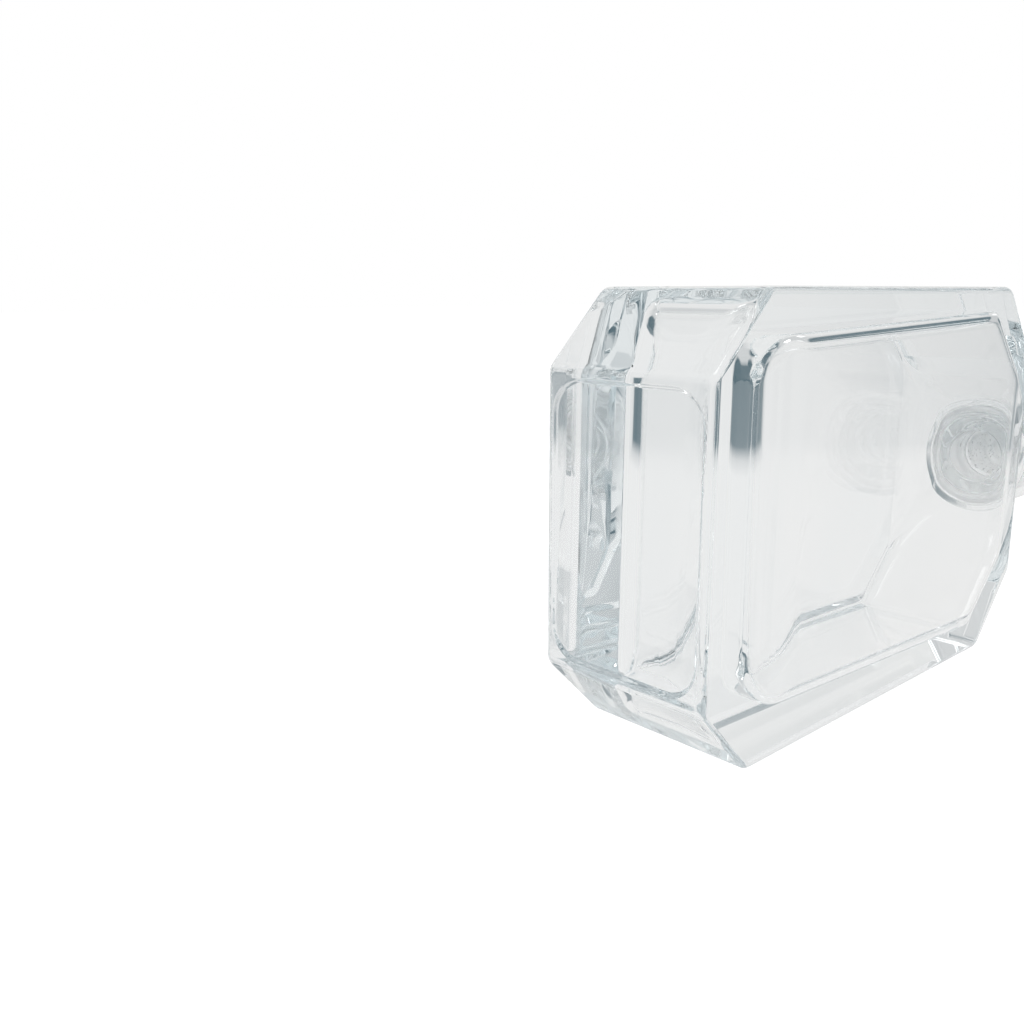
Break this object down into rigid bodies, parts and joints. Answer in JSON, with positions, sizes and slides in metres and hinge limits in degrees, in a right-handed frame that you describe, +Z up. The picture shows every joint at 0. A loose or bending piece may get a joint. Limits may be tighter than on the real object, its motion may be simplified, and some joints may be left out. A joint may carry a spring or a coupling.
{
  "type": "aftershave bottle",
  "caption": "Clear glass slab aftershave bottle with cut corners, pour reducer and clear screw cap, lying on its narrow side.",
  "frame": {"origin": "centre of the long narrow side that the bottle lies on", "axes": "+X along the bottle's axis from the glass base to the cap, +Y across the thickness, +Z up across the width"},
  "size_m": [0.1374, 0.032, 0.072],
  "materials": {
    "clear_glass": "fire-polished clear flint glass with a faint cool tint",
    "natural_plastic": "translucent natural polyethylene, satin",
    "foam_liner": "white expanded polyethylene sheet, matt",
    "white_plastic": "pale translucent moulded polypropylene, satin",
    "clear_plastic": "clear moulded plastic, polished"
  },
  "bodies": {
    "bottle": {"glass_bottle": "clear_glass", "orifice_reducer": "natural_plastic"},
    "liner": {"cap_liner": "foam_liner"},
    "cap": {"cap_thread_insert": "white_plastic", "cap_outer_shell": "clear_plastic"}
  },
  "joints": [
    {"name": "cap_lift", "type": "slide", "parent": "bottle", "child": "liner", "axis": [1, 0, 0], "range_m": [0, 0.01906]},
    {"name": "cap_turn", "type": "hinge", "parent": "liner", "child": "cap", "pos_m": [0.0617, 0, 0.036], "axis": [1, 0, 0], "range_deg": [0, 2160]}
  ],
  "couplings": [
    {"joint": "cap_lift", "follows": "cap_turn", "m_per_rad": 0.00050532}
  ]
}
